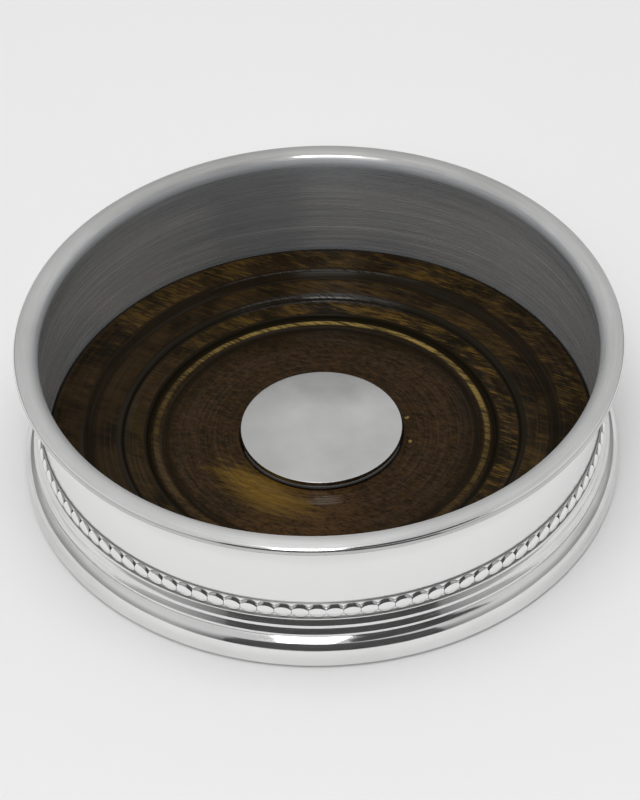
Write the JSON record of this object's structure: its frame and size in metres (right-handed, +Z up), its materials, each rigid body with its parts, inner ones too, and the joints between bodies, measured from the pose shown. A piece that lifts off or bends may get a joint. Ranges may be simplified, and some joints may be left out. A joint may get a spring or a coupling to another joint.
{
  "type": "wine bottle coaster",
  "caption": "Round silver wine bottle coaster: flared rim, straight wall, beaded wire and stepped foot round a dished turned wood base with a plain silver boss.",
  "frame": {"origin": "middle of the underside, on the table top that the coaster stands on", "axes": "+Z up along the axis of turning, +X to the viewer's right in the picture, +Y away from the viewer"},
  "size_m": [0.1286, 0.1286, 0.0343],
  "materials": {
    "silver": "polished silver with fine wear",
    "satin_silver": "silver rubbed to a satin, with fine scratches",
    "dark_wood": "turned dark hardwood, waxed, worn on its edges",
    "brass": "plain, unpolished",
    "green_baize": "napped woollen cloth"
  },
  "bodies": {
    "root": {"wall_band": "silver", "rim_moulding": "satin_silver", "bead_wire": "silver", "foot_moulding": "silver", "base_flange": "silver", "wood_base": "dark_wood", "boss": "satin_silver", "boss_pin": "brass", "pin_washer": "brass", "flange_screws": "brass", "baize_pad": "green_baize"}
  },
  "joints": []
}
